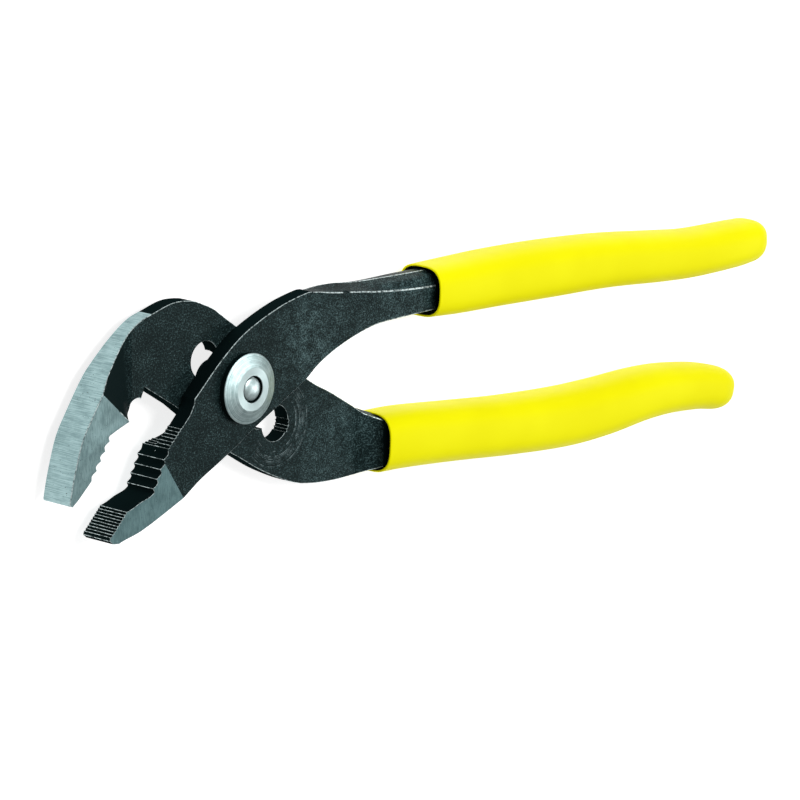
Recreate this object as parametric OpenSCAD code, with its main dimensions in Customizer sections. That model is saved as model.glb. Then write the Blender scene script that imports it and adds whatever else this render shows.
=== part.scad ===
// Slip joint pliers, multi-position pump pattern with a lap joint and dipped grips.
// The tool lies flat: +X runs from the pivot to the handles, +Y is across the jaws,
// +Z is up through the thickness. The origin is on the pivot axis, on the surface
// that the tool lies on.

/* [Levers] */
// Reach of the jaws ahead of the pivot axis
jaw_len = 56; // [50:0.5:64]
// Reach of the handles behind the pivot axis
handle_len = 197; // [180:1:215]
// Height scale of the head across the two levers
head_w = 40; // [38:0.5:43]
// Thickness of the jaws, twice the thickness of a lapped plate
jaw_t = 8.7; // [7.5:0.1:11]
// Running gap between the two lapped plates
lap_gap = 0.12; // [0.08:0.01:0.2]

/* [Jaw teeth] */
// Number of coarse teeth on each jaw
coarse_teeth = 4; // [3:1:5]
// Depth of a coarse tooth
coarse_depth = 0.75; // [0.4:0.05:1]
// Number of fine serrations at the tip of the front jaw
fine_teeth = 10; // [6:1:12]
// Depth of a fine serration
fine_depth = 0.32; // [0.2:0.02:0.45]
// Number of fine serrations on the crown above the coarse teeth
crown_teeth = 7; // [4:1:9]

/* [Slot] */
// Radius of a round seat in the slot
seat_r = 4.4; // [4.2:0.1:4.6]
// Distance from one seat to the next
seat_pitch = 6.3; // [6:0.1:6.6]
// Seats on the tight side of the seat in use
tight_seats = 2; // [1:1:2]
// Seats on the wide side of the seat in use
wide_seats = 3; // [2:1:3]
// Downward angle of the slot behind the pivot
slot_angle = 39.2; // [37:0.2:41]

/* [Pivot] */
// Radial running fit of the bolt in a seat
bolt_fit = 0.1; // [0.05:0.01:0.15]
// Clearance of each bolt flat in the narrow passage
flat_gap = 0.15; // [0.1:0.01:0.2]
// Radius of the nut
nut_r = 8.3; // [7.8:0.1:8.6]
// Reach of the bolt's rear head past the edge of a seat
bolt_head_over = 1.6; // [1.5:0.1:2.2]
// Thickness of the bolt's rear head
bolt_head_t = 2; // [1.5:0.1:2.6]
// Thickness of the spring washer under the rear head
washer_t = 0.8; // [0.5:0.1:1.2]
// Width of the spring washer's ring round the bolt
washer_w = 1.3; // [0.9:0.1:1.3]
// Radius of the threaded end of the bolt
thread_r = 2.75; // [2.4:0.05:2.9]
// Radius of the nut's foot, under its undercut rim
nut_foot_r = 7.5; // [7:0.1:7.7]
// Height of the undercut below the nut's rim
nut_under_t = 0.95; // [0.6:0.05:1.05]
// Height of the nut up to the top of its rim
nut_rim_t = 1.3; // [1.2:0.05:1.5]
// Height of the nut's conical crown over the rim
nut_cone_t = 1.4; // [1:0.1:1.6]
// Radius of the flat land on top of the nut
nut_land_r = 5.1; // [4.6:0.1:5.5]
// Radius of the counterbore round the bolt's end
nut_sink_r = 3.15; // [3:0.05:3.5]
// Depth of the counterbore
nut_sink_t = 0.9; // [0.5:0.1:1.2]

/* [Grips] */
// Thickness of a grip across the tool
grip_t = 14.3; // [13:0.1:15]
// Thickness of the steel core inside a grip
core_t = 7.2; // [6:0.1:8]
// Width of the steel core inside a grip
core_w = 9.4; // [8:0.1:10]
// Clearance between a core and its grip
grip_fit = 0.05; // [0.03:0.01:0.1]
// Depth of the open mouth round the neck
mouth_t = 2.4; // [1.5:0.1:3]
// Wall of the grip at its mouth
mouth_wall = 1.3; // [1:0.1:1.6]

/* [Hidden] */
overrun = jaw_t / 4;
sliver = lap_gap / 2;
plate_z = bolt_head_t + washer_t;
mid_z = plate_z + jaw_t / 2;
top_z = plate_z + jaw_t;
round_fn = 96;
curve_steps = 5;
crest_share = 0.45;
coarse_crest_share = 0.7;
ring_sides = 16;

// A share pair turned into a place in the plan: jaw side by the jaw reach, handle side by the handle reach
function place(s) = [s[0] * (s[0] < 0 ? jaw_len : handle_len), s[1] * head_w];
function places(shares) = [for (s = shares) place(s)];

// A smooth curve through the points of a list
function bend(a, b, c, d, t) =
    0.5 * (2 * b + (c - a) * t + (2 * a - 5 * b + 4 * c - d) * t * t + (3 * b - a - 3 * c + d) * t * t * t);
function smooth(p, steps = curve_steps) = concat(
    [for (i = [0 : len(p) - 2]) for (k = [0 : steps - 1])
        bend(p[max(i - 1, 0)], p[i], p[i + 1], p[min(i + 2, len(p) - 1)], k / steps)],
    [p[len(p) - 1]]);

// Teeth along a straight way with the steel on its left: each rises to a crest and drops back
function teeth(a, b, count, depth, crest = crest_share) =
    let (way = (b - a) / count, out = [way[1], -way[0]] / norm(way))
    [for (i = [0 : count - 1]) each [a + way * i, a + way * (i + crest) + out * depth]];
function front_teeth() =
    teeth(place(front_grip_face_shares[0]), place(front_grip_face_shares[1]), coarse_teeth, coarse_depth,
        coarse_crest_share);

// Front lever: outline of the head, anticlockwise from the top of the neck
front_back_shares = [[0.168, 0.455], [0.14, 0.468], [0.112, 0.47], [0.066, 0.43], [0.0254, 0.3675],
    [-0.027, 0.295], [-0.145, 0.1825], [-0.2625, 0.04], [-0.291, 0.0075]];
front_crown_shares = [[-0.293, -0.0225], [-0.318, -0.08], [-0.366, -0.145], [-0.45, -0.258]];
front_grip_face_shares = [[-0.4465, -0.275], [-0.5286, -0.48]];
front_flat_shares = [[-0.5286, -0.48], [-0.5536, -0.4975], [-0.605, -0.515], [-0.65, -0.5375],
    [-0.6786, -0.5475]];
front_tip_shares = [[-0.6786, -0.5475], [-0.7786, -0.685]];
front_nose_shares = [[-0.782, -0.6925], [-0.764, -0.715], [-0.73, -0.7225]];
front_belly_shares = [[-0.73, -0.7225], [-0.696, -0.71], [-0.607, -0.685], [-0.498, -0.6325],
    [-0.359, -0.5575]];
front_under_shares = [[-0.359, -0.5575], [-0.266, -0.48], [-0.148, -0.4025], [-0.03, -0.3225],
    [0.0086, -0.275], [0.042, -0.195], [0.0766, -0.1125], [0.106, -0.0425]];
front_crotch_shares = [[0.1127, 0.005], [0.1284, 0.0525], [0.148, 0.09], [0.168, 0.118]];
front_outline = concat(
    smooth(places(front_back_shares)),
    [place(front_crown_shares[0]), place(front_crown_shares[1])],
    teeth(place(front_crown_shares[2]), place(front_crown_shares[3]), crown_teeth, fine_depth),
    front_teeth(),
    smooth(places(front_flat_shares)),
    teeth(place(front_tip_shares[0]), place(front_tip_shares[1]), fine_teeth, fine_depth),
    places(front_nose_shares),
    smooth(places(front_belly_shares)),
    smooth(places(front_under_shares)),
    smooth(places(front_crotch_shares)));

// Rear half of the front jaw, with the wall that the rear plate swings against
front_heel_shares = [[-0.222, -0.255], [-0.284, -0.21], [-0.35, -0.2325], [-0.375, -0.239],
    [-0.45, -0.258]];
front_heel_foot_shares = [[-0.359, -0.5575], [-0.266, -0.48], [-0.196, -0.436]];
front_heel_outline = concat(
    [for (k = [0 : 2]) place(front_heel_shares[k])],
    teeth(place(front_heel_shares[3]), place(front_heel_shares[4]), crown_teeth - 3, fine_depth),
    front_teeth(),
    smooth(places(front_flat_shares)),
    teeth(place(front_tip_shares[0]), place(front_tip_shares[1]), fine_teeth, fine_depth),
    places(front_nose_shares),
    smooth(places(front_belly_shares)),
    places(front_heel_foot_shares));

// Rear lever: outline of the head, anticlockwise from the top of the neck
rear_back_shares = [[0.213, -0.328], [0.173, -0.205], [0.129, -0.08], [0.031, 0.285], [0.0046, 0.385],
    [-0.043, 0.445], [-0.102, 0.495], [-0.159, 0.52], [-0.229, 0.548], [-0.332, 0.56], [-0.441, 0.5275],
    [-0.532, 0.49], [-0.634, 0.4], [-0.73, 0.29], [-0.7875, 0.2075], [-0.871, 0.045],
    [-0.929, -0.085], [-0.975, -0.275], [-1, -0.4175]];
rear_nose_shares = [[-0.998, -0.43], [-0.984, -0.4375]];
rear_flat_shares = [[-0.984, -0.4375], [-0.9446, -0.3975], [-0.878, -0.315]];
rear_grip_face_shares = [[-0.877, -0.29], [-0.7786, -0.0875]];
rear_heel_shares = [[-0.775, -0.0825], [-0.718, -0.055], [-0.6625, -0.03]];
rear_throat_shares = [[-0.6625, -0.03], [-0.602, 0.005], [-0.584, 0.0475], [-0.55, 0.07],
    [-0.505, 0.085], [-0.4714, 0.0475]];
rear_under_shares = [[0.0005, -0.42], [0.0142, -0.4575], [0.0533, -0.5725], [0.103, -0.6825],
    [0.1396, -0.725], [0.18, -0.742], [0.213, -0.7425]];
rear_outline = concat(
    smooth(places(rear_back_shares)),
    places(rear_nose_shares),
    smooth(places(rear_flat_shares)),
    teeth(place(rear_grip_face_shares[0]), place(rear_grip_face_shares[1]), coarse_teeth, coarse_depth),
    smooth(places(rear_heel_shares)),
    smooth(places(rear_throat_shares)),
    smooth(places(rear_under_shares)));

// Full thickness of the rear jaw: where its front face ends, and the foot of the wall below it
rear_face_shares = [[-1.1, -0.5], [-0.6625, -0.5], [-0.6625, -0.03], [-0.84, 0.205], [-1.1, 0.205]];
rear_foot_shares = [[-1.1, -0.5], [-0.6625, -0.5], [-0.5964, -0.06], [-0.5964, 0.47], [-1.1, 0.47]];

// Sections of the necks: share of the handle reach, then corners as shares of the head width and
// of the jaw thickness above the lower face
front_neck_shares = [
    [0.166, [[0.115, 0.507], [0.115, 1], [0.436, 1], [0.455, 0.8], [0.455, 0.507]]],
    [0.234, [[0.187, 0.4], [0.187, 0.88], [0.205, 1], [0.385, 1], [0.437, 0.7], [0.437, 0.45],
        [0.39, 0.3], [0.22, 0.3]]],
    [0.345, [[0.197, 0.35], [0.197, 0.8], [0.225, 1], [0.32, 1], [0.42, 0.65], [0.425, 0.4],
        [0.36, 0.1], [0.25, 0.1]]]];
rear_neck_shares = [
    [0.211, [[-0.7425, 0], [-0.7425, 0.493], [-0.32, 0.493], [-0.32, 0]]],
    [0.246, [[-0.728, 0.03], [-0.74, 0.3], [-0.728, 0.8], [-0.715, 0.92], [-0.44, 0.92], [-0.41, 0.75],
        [-0.402, 0.3], [-0.42, 0.03]]],
    [0.27, [[-0.715, 0.04], [-0.735, 0.3], [-0.72, 0.85], [-0.705, 0.97], [-0.475, 0.97], [-0.445, 0.8],
        [-0.44, 0.3], [-0.48, 0.04]]]];

// Grips and their steel cores: share of the handle reach, middle as a share of the head width,
// half width as a share of the grip thickness, half thickness as a share of half the grip thickness
front_grip_shares = [[0.33, 0.2875, 0.455, 0.95], [0.386, 0.28, 0.468, 1], [0.462, 0.271, 0.486, 1],
    [0.563, 0.246, 0.493, 1], [0.675, 0.209, 0.472, 0.99], [0.787, 0.149, 0.451, 0.96],
    [0.853, 0.12, 0.434, 0.93], [0.935, 0.112, 0.425, 0.9], [0.969, 0.112, 0.41, 0.88]];
rear_grip_shares = [[0.244, -0.575, 0.545, 0.96], [0.294, -0.589, 0.528, 1], [0.386, -0.634, 0.507, 1],
    [0.487, -0.69, 0.51, 1], [0.594, -0.735, 0.524, 1], [0.675, -0.742, 0.52, 0.99],
    [0.746, -0.729, 0.486, 0.97], [0.802, -0.735, 0.451, 0.95], [0.863, -0.766, 0.427, 0.92],
    [0.905, -0.805, 0.41, 0.9]];
cap_share = 1;
cap_steps = 5;
cap_turn = 84;
core_end_share = 0.9;
section_power = 2.4;
grip_steps = 3;

function station(s) = [s[0] * handle_len, s[1] * head_w, s[2] * grip_t, s[3] * grip_t / 2];
function stations(shares) = [for (r = smooth([for (s = shares) station(s)], grip_steps))
    [r[0], r[1], r[2], min(r[3], grip_t / 2)]];
function heading(rows, i) =
    let (a = rows[max(i - 1, 0)], b = rows[min(i + 1, len(rows) - 1)], d = [b[0] - a[0], b[1] - a[1]])
    d / norm(d);
function power(v) = sign(v) * pow(abs(v), 2 / section_power);
function ring(c, d, a, b) = [for (k = [0 : ring_sides - 1]) let (q = 360 * k / ring_sides)
    [c[0] - d[1] * a * power(cos(q)), c[1] + d[0] * a * power(cos(q)), mid_z + b * power(sin(q))]];
// Rings that round off a grip past its last station
function cap_rings(rows) = let (e = rows[len(rows) - 1], d = heading(rows, len(rows) - 1))
    [for (k = [1 : cap_steps]) let (q = cap_turn * k / cap_steps, reach = e[2] * cap_share * sin(q))
        ring([e[0] + d[0] * reach, e[1] + d[1] * reach], d, e[2] * cos(q), e[3] * cos(q))];

module skin(rings) {
    n = len(rings);
    m = ring_sides;
    polyhedron(
        points = [for (r = rings) each r],
        faces = concat(
            [[for (k = [0 : m - 1]) k]],
            [for (i = [0 : n - 2]) for (k = [0 : m - 1]) each
                [[i * m + k, i * m + m + k, i * m + (k + 1) % m],
                 [i * m + (k + 1) % m, i * m + m + k, i * m + m + (k + 1) % m]]],
            [[for (k = [m - 1 : -1 : 0]) (n - 1) * m + k]]));
}

// Steel core that a grip is dipped over, from inside the neck to short of the grip's end
function beside(rows, i, off) =
    let (d = heading(rows, i))
    [rows[i][0] - d[1] * off, rows[i][1] + d[0] * off];
module core(shares, extra = 0) {
    rows = [for (r = stations(shares))
        if (r[0] > shares[0][0] * handle_len && r[0] < core_end_share * handle_len) r];
    half = core_w / 2 + extra;
    last = len(rows) - 1;
    translate([0, 0, mid_z - core_t / 2 - extra])
        linear_extrude(core_t + 2 * extra)
            polygon(concat([for (i = [0 : last]) beside(rows, i, half)],
                [for (i = [last : -1 : 0]) beside(rows, i, -half)]));
}

// A thin slice across a neck
module slice(row) {
    translate([row[0] * handle_len, 0, plate_z])
        rotate([90, 0, 90])
            linear_extrude(sliver) polygon([for (c = row[1]) [c[0] * head_w, c[1] * jaw_t]]);
}
module neck(rows) {
    for (i = [0 : len(rows) - 2]) hull() {
        slice(rows[i]);
        slice(rows[i + 1]);
    }
}

// Scalloped slot: one round seat for each setting
module slot() {
    rotate(-slot_angle) for (k = [-tight_seats : wide_seats])
        translate([k * seat_pitch, 0, plate_z - overrun]) cylinder(r = seat_r, h = jaw_t, $fn = round_fn);
}

module front_lever() {
    color("darkslategray") difference() {
        union() {
            translate([0, 0, mid_z + lap_gap / 2])
                linear_extrude(jaw_t / 2 - lap_gap / 2) polygon(front_outline);
            translate([0, 0, plate_z]) linear_extrude(jaw_t / 2 + lap_gap) polygon(front_heel_outline);
            neck(front_neck_shares);
            core(front_grip_shares);
        }
        translate([0, 0, plate_z]) cylinder(r = thread_r + grip_fit, h = jaw_t + overrun, $fn = round_fn);
    }
}

module rear_lever() {
    color("darkslategray") difference() {
        union() {
            translate([0, 0, plate_z]) linear_extrude(jaw_t / 2 - lap_gap / 2) polygon(rear_outline);
            intersection() {
                translate([0, 0, plate_z]) linear_extrude(jaw_t) polygon(rear_outline);
                hull() {
                    translate([0, 0, mid_z - lap_gap])
                        linear_extrude(sliver) polygon(places(rear_foot_shares));
                    translate([0, 0, top_z - sliver])
                        linear_extrude(sliver) polygon(places(rear_face_shares));
                }
            }
            neck(rear_neck_shares);
            core(rear_grip_shares);
        }
        slot();
    }
}

// Dipped sleeve, open at the mouth round its neck and closed at the end
module grip(shares) {
    rows = stations(shares);
    color("yellow") difference() {
        skin(concat(
            [ring(rows[0], heading(rows, 0), rows[0][2] - mouth_wall / 3, rows[0][3] - mouth_wall / 3)],
            [ring([rows[0][0] + mouth_wall / 3, rows[0][1]], heading(rows, 0), rows[0][2], rows[0][3])],
            [for (i = [1 : len(rows) - 1]) ring(rows[i], heading(rows, i), rows[i][2], rows[i][3])],
            cap_rings(rows)));
        skin([for (x = [-overrun, mouth_t])
            ring([rows[0][0] + x, rows[0][1]], [1, 0], rows[0][2] - mouth_wall, rows[0][3] - mouth_wall)]);
        children();
    }
}
module front_grip() {
    grip(front_grip_shares) union() {
        neck(front_neck_shares);
        core(front_grip_shares, grip_fit);
    }
}
module rear_grip() {
    grip(rear_grip_shares) union() {
        neck(rear_neck_shares);
        core(rear_grip_shares, grip_fit);
    }
}

// Bolt with a flat rear head, a flatted journal in the slot and a domed end in the nut
passage_half = sqrt(pow(seat_r, 2) - pow(seat_pitch / 2, 2));
journal_r = seat_r - bolt_fit;
bolt_head_r = seat_r + bolt_head_over;
nut_top_z = top_z + nut_rim_t + nut_cone_t;
module pivot_bolt() {
    color("gainsboro") difference() {
        rotate_extrude($fn = round_fn) polygon(concat(
            [[0, 0], [bolt_head_r - bolt_head_t / 4, 0], [bolt_head_r, bolt_head_t / 4],
             [bolt_head_r, bolt_head_t], [journal_r, bolt_head_t], [journal_r, mid_z + lap_gap / 2],
             [thread_r, mid_z + lap_gap / 2]],
            [for (q = [0 : 15 : 90]) [thread_r * cos(q), nut_top_z - nut_sink_t * (1 - sin(q))]]));
        rotate(-slot_angle) for (side = [-1, 1])
            translate([-nut_r, side * (passage_half - flat_gap + nut_r / 2) - nut_r / 2, plate_z])
                cube([2 * nut_r, nut_r, mid_z + lap_gap / 2 - plate_z]);
    }
}

// Turned nut: foot, undercut rim, conical crown, flat land and a counterbore round the bolt's end
module pivot_nut() {
    bore_r = thread_r + grip_fit;
    color("silver") rotate_extrude($fn = round_fn) polygon([
        [bore_r, top_z], [nut_foot_r, top_z], [nut_r, top_z + nut_under_t], [nut_r, top_z + nut_rim_t],
        [nut_land_r, nut_top_z],
        [nut_sink_r, nut_top_z], [nut_sink_r, nut_top_z - nut_sink_t], [bore_r, nut_top_z - nut_sink_t]]);
}

module spring_washer() {
    bore_r = seat_r + bolt_fit;
    color("dimgray") translate([0, 0, bolt_head_t]) difference() {
        cylinder(r = bore_r + washer_w, h = washer_t, $fn = round_fn);
        translate([0, 0, -overrun]) cylinder(r = bore_r, h = washer_t + 2 * overrun, $fn = round_fn);
    }
}

front_lever();
rear_lever();
front_grip();
rear_grip();
pivot_bolt();
pivot_nut();
spring_washer();
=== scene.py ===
import math

import bmesh
import bpy
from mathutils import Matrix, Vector


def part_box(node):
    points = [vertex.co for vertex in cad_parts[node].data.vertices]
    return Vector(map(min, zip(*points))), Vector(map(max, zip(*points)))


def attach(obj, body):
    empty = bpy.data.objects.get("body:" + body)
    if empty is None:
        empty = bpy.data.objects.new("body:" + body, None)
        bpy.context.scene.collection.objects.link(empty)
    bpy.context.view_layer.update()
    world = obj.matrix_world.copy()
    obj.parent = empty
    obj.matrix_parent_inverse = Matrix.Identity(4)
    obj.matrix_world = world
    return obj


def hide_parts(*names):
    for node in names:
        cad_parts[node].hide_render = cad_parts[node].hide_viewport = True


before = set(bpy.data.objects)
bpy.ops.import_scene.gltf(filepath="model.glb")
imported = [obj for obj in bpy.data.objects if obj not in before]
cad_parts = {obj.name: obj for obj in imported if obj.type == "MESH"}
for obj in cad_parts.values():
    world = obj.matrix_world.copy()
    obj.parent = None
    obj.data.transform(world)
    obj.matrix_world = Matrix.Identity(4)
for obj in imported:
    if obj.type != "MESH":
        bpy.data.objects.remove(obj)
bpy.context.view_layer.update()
mm = 0.001
hair = 0.0001 * mm  # two points nearer than this are one
close = 0.01 * mm  # sides of an outline are no shorter, and radii this near are the same
print("frame loaded:", sorted(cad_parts))

# Camera: the photograph's viewing angle, from the jaws' side and a little above the nut
view = dict(
    place=(-0.73874, 0.25538, 0.72590),
    turn=(-14.383, -47.888, 0.369),  # degrees about X, Y and Z
    lens=207.0,
    sensor=36.0,
    near=0.05,
    far=20,
)


def makeCamera():
    data = bpy.data.cameras.new("photoCamera")
    data.lens = view["lens"]
    data.sensor_width = view["sensor"]
    data.clip_start = view["near"]
    data.clip_end = view["far"]
    camera = bpy.data.objects.new("photoCamera", data)
    camera.location = view["place"]
    camera.rotation_euler = [math.radians(a) for a in view["turn"]]
    bpy.context.scene.collection.objects.link(camera)
    bpy.context.scene.camera = camera


# Light: a white room and soft panels, the strongest high over the tool and a little to its +Y side
studio = dict(
    room=0.30,
    middle=(0.07, 0.0, 0.0),
    panels=[
        # name, place, width, height, watts
        ("keyPanel", (0.22, 0.42, 1.05), 0.6, 0.6, 9.5),
        ("headPanel", (-0.75, 0.45, 0.35), 0.3, 0.3, 0.4),
        ("farPanel", (0.95, -0.20, 0.78), 0.4, 0.6, 2.2),
    ],
    floorSide=8.0,
    floorShade=0.5,
    floorGlow=0.80,
    floorRough=0.9,
    floorGloss=0.1,
)


def aimAt(obj, target):
    away = Vector(target) - obj.location
    obj.rotation_euler = away.to_track_quat("-Z", "Y").to_euler()


def makeLight():
    world = bpy.data.worlds.new("room")
    bpy.context.scene.world = world
    world.use_nodes = True
    back = world.node_tree.nodes["Background"]
    back.inputs["Color"].default_value = (1, 1, 1, 1)
    back.inputs["Strength"].default_value = studio["room"]
    for name, place, width, height, watts in studio["panels"]:
        data = bpy.data.lights.new(name, "AREA")
        data.shape = "RECTANGLE"
        data.size = width
        data.size_y = height
        data.energy = watts
        lamp = bpy.data.objects.new(name, data)
        lamp.location = place
        aimAt(lamp, studio["middle"])
        bpy.context.scene.collection.objects.link(lamp)
    bpy.context.scene.view_settings.view_transform = "Standard"


def makeFloor():
    half = studio["floorSide"] / 2
    mesh = bpy.data.meshes.new("floor")
    corners = [(-half, -half, 0), (half, -half, 0), (half, half, 0), (-half, half, 0)]
    mesh.from_pydata(corners, [], [(0, 1, 2, 3)])
    floor = bpy.data.objects.new("floor", mesh)
    bpy.context.scene.collection.objects.link(floor)
    paper = bpy.data.materials.new("paper")
    paper.use_nodes = True
    shader = paper.node_tree.nodes["Principled BSDF"]
    shade = studio["floorShade"]
    shader.inputs["Base Color"].default_value = (shade, shade, shade, 1)
    shader.inputs["Roughness"].default_value = studio["floorRough"]
    shader.inputs["Specular IOR Level"].default_value = studio["floorGloss"]
    shader.inputs["Emission Color"].default_value = (1, 1, 1, 1)
    shader.inputs["Emission Strength"].default_value = studio["floorGlow"]
    mesh.materials.append(paper)


# Node helpers: every finish is made from the piece's own coordinates, in metres
class Finish:
    def __init__(self, name):
        self.material = bpy.data.materials.new(name)
        self.material.use_nodes = True
        self.tree = self.material.node_tree
        self.shader = self.tree.nodes["Principled BSDF"]
        self.place = self.add("ShaderNodeTexCoord").outputs["Object"]

    def add(self, kind, **values):
        node = self.tree.nodes.new(kind)
        for key, value in values.items():
            setattr(node, key, value)
        return node

    def join(self, source, target):
        self.tree.links.new(source, target)

    def stretched(self, scale, turn):
        node = self.add("ShaderNodeMapping")
        self.join(self.place, node.inputs["Vector"])
        node.inputs["Scale"].default_value = scale
        node.inputs["Rotation"].default_value = [math.radians(a) for a in turn]
        return node.outputs["Vector"]

    def noise(self, scale, detail, rough, vector=None):
        node = self.add("ShaderNodeTexNoise")
        self.join(vector or self.place, node.inputs["Vector"])
        node.inputs["Scale"].default_value = scale
        node.inputs["Detail"].default_value = detail
        node.inputs["Roughness"].default_value = rough
        return node.outputs["Fac"]

    def ramp(self, source, low, high, lowValue=0.0, highValue=1.0):
        node = self.add("ShaderNodeMapRange")
        self.join(source, node.inputs["Value"])
        limits = (("From Min", low), ("From Max", high), ("To Min", lowValue), ("To Max", highValue))
        for key, value in limits:
            node.inputs[key].default_value = value
        return node.outputs["Result"]

    def calc(self, how, a, b):
        node = self.add("ShaderNodeMath", operation=how)
        for socket, value in zip(node.inputs, (a, b)):
            if isinstance(value, (int, float)):
                socket.default_value = value
            else:
                self.join(value, socket)
        return node.outputs["Value"]

    def mixed(self, a, b, shareOfA):
        return self.calc("ADD", self.calc("MULTIPLY", a, shareOfA), self.calc("MULTIPLY", b, 1 - shareOfA))

    def part(self, vector, axis):
        node = self.add("ShaderNodeSeparateXYZ")
        self.join(vector, node.inputs["Vector"])
        return node.outputs[axis]

    # How far a point is from an upright axis
    def distanceFrom(self, centre):
        x = self.calc("SUBTRACT", self.part(self.place, "X"), centre[0])
        y = self.calc("SUBTRACT", self.part(self.place, "Y"), centre[1])
        squares = self.calc("ADD", self.calc("MULTIPLY", x, x), self.calc("MULTIPLY", y, y))
        return self.calc("POWER", squares, 0.5)

    # Rings about that axis, from a noise that is read along the distance alone
    def ringNoise(self, far, pitch, detail, rough):
        node = self.add("ShaderNodeCombineXYZ")
        self.join(self.calc("DIVIDE", far, pitch), node.inputs["X"])
        return self.noise(1.0, detail, rough, node.outputs["Vector"])

    # Sockets 0, 6 and 7 of a colour mix are the share and the two colours
    def blend(self, share, a, b):
        node = self.add("ShaderNodeMix", data_type="RGBA")
        for key, value in ((0, share), (6, a), (7, b)):
            if isinstance(value, tuple):
                node.inputs[key].default_value = (*value, 1)
            elif isinstance(value, (int, float)):
                node.inputs[key].default_value = value
            else:
                self.join(value, node.inputs[key])
        return node.outputs[2]

    def paint(self, colour):
        self.join(colour, self.shader.inputs["Base Color"])

    def roughen(self, tone, dull, shiny):
        self.join(self.ramp(tone, 0.3, 0.7, dull, shiny), self.shader.inputs["Roughness"])

    def bump(self, height, strength, depth):
        node = self.add("ShaderNodeBump")
        self.join(height, node.inputs["Height"])
        node.inputs["Strength"].default_value = strength
        node.inputs["Distance"].default_value = depth
        self.join(node.outputs["Normal"], self.shader.inputs["Normal"])

    def fixed(self, **values):
        for key, value in values.items():
            socket = self.shader.inputs[key.replace("_", " ")]
            socket.default_value = (*value, 1) if isinstance(value, tuple) else value


# Black oxide: near black, with pale flecks where it is worn thin. Side walls and undercuts get painted shade,
# a darker colour
blackOxide = dict(
    dark=(0.0010, 0.0030, 0.0032),
    mid=(0.0065, 0.0160, 0.0166),
    fleck=(0.085, 0.145, 0.150),
    darkToMid=(0.40, 0.58),  # of the tone
    midToFleck=(0.54, 0.76),
    speckleScale=2800,
    speckleShare=0.80,
    patchScale=170,
    paintedShadeShare=0.60,
    paintedShadeToFlat=(0.05, 0.42),  # painted shade on side walls, fading out over this part of a face's normal that is along Z
    slopeShadeHeight=0.9 * mm,  # painted shade: the rear jaw's sloped wall is shaded down to this height over the plate, then the shade fades
    rough=(0.60, 0.38),
    dent=(0.75, 0.06 * mm),
    gloss=dict(patch=0.11, rings=0.11, slope=0.02, wall=0.0),
    glossTint=(0.62, 1.0, 1.0),
    # lighter mottled places on the plates: centre, radius and strength
    lighterPlaces=dict(
        patch=[((22 * mm, 7.5 * mm), 15 * mm, 0.15), ((56 * mm, 10 * mm), 24 * mm, 0.11)],
        rings=[((37 * mm, -21 * mm), 19 * mm, 0.11)],
    ),
    lighterCore=0.3,
    lighterMottleScale=430,
    lighterMottleFrom=(0.34, 0.66),
)
# Rings that the nut has rubbed in the rear plate at another seat, on the side away from the nut
nutRub = dict(
    bright=(0.26, 0.34, 0.35),
    centre=(15.0 * mm, -12.0 * mm),
    inner=6.0 * mm,
    innerFade=0.6 * mm,
    outer=11.0 * mm,
    outerFade=0.5 * mm,
    pitch=0.30 * mm,
    lineFrom=(0.52, 0.64),
    brokenScale=420,
    brokenFrom=(0.46, 0.60),
    sideTurn=45,
    sideFrom=(16 * mm, 21 * mm),
)


def makeBlackOxide(name, wearOrShade):
    v = blackOxide
    f = Finish(name)
    speckle = f.noise(v["speckleScale"], 2.0, 0.7)
    tone = f.mixed(speckle, f.noise(v["patchScale"], 4.0, 0.6), v["speckleShare"])
    for centre, radius, strength in v["lighterPlaces"].get(wearOrShade, []):
        near = f.ramp(f.distanceFrom(centre), radius * v["lighterCore"], radius, 1.0, 0.0)
        mottled = f.ramp(f.noise(v["lighterMottleScale"], 4.0, 0.7), *v["lighterMottleFrom"], 0.0, strength)
        tone = f.calc("ADD", tone, f.calc("MULTIPLY", near, mottled))
    colour = f.blend(f.ramp(tone, *v["darkToMid"]), v["dark"], v["mid"])
    colour = f.blend(f.ramp(tone, *v["midToFleck"]), colour, v["fleck"])
    if wearOrShade == "rings":
        colour = f.blend(nutRings(f), colour, nutRub["bright"])
    # Painted shade: the wall kind is shaded all over, for walls, gaps, hollows and undercuts
    if wearOrShade == "wall":
        lit = 0.0
    # Painted shade on the rear jaw's sloped wall: full near the crest, fading to nothing at the plate
    elif wearOrShade == "slope":
        lit = f.ramp(f.part(f.place, "Z"), tool["midZ"] + v["slopeShadeHeight"], tool["midZ"])
    # Painted shade: a face takes the darker colour as it turns away from Z
    else:
        normal = f.add("ShaderNodeTexCoord").outputs["Normal"]
        lit = f.ramp(f.calc("ABSOLUTE", f.part(normal, "Z"), 0), *v["paintedShadeToFlat"])
    # Blend towards the painted shade, a share of the mid tone
    f.paint(f.blend(lit, tuple(c * v["paintedShadeShare"] for c in v["mid"]), colour))
    f.roughen(tone, *v["rough"])
    f.bump(speckle, *v["dent"])
    f.fixed(Metallic=0.0, Specular_IOR_Level=v["gloss"][wearOrShade], Specular_Tint=v["glossTint"])
    return f.material


def nutRings(f):
    v = nutRub
    far = f.distanceFrom(v["centre"])
    lines = f.ramp(f.ringNoise(far, v["pitch"], 2.0, 0.5), *v["lineFrom"])
    inside = f.calc("MULTIPLY", f.ramp(far, v["inner"], v["inner"] + v["innerFade"]),
                   f.ramp(far, v["outer"], v["outer"] - v["outerFade"]))
    broken = f.ramp(f.noise(v["brokenScale"], 4.0, 0.75), *v["brokenFrom"])
    side = f.ramp(f.part(f.stretched((1, 1, 1), (0, 0, v["sideTurn"])), "X"), *v["sideFrom"])
    return f.calc("MULTIPLY", f.calc("MULTIPLY", lines, inside), f.calc("MULTIPLY", broken, side))


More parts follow.
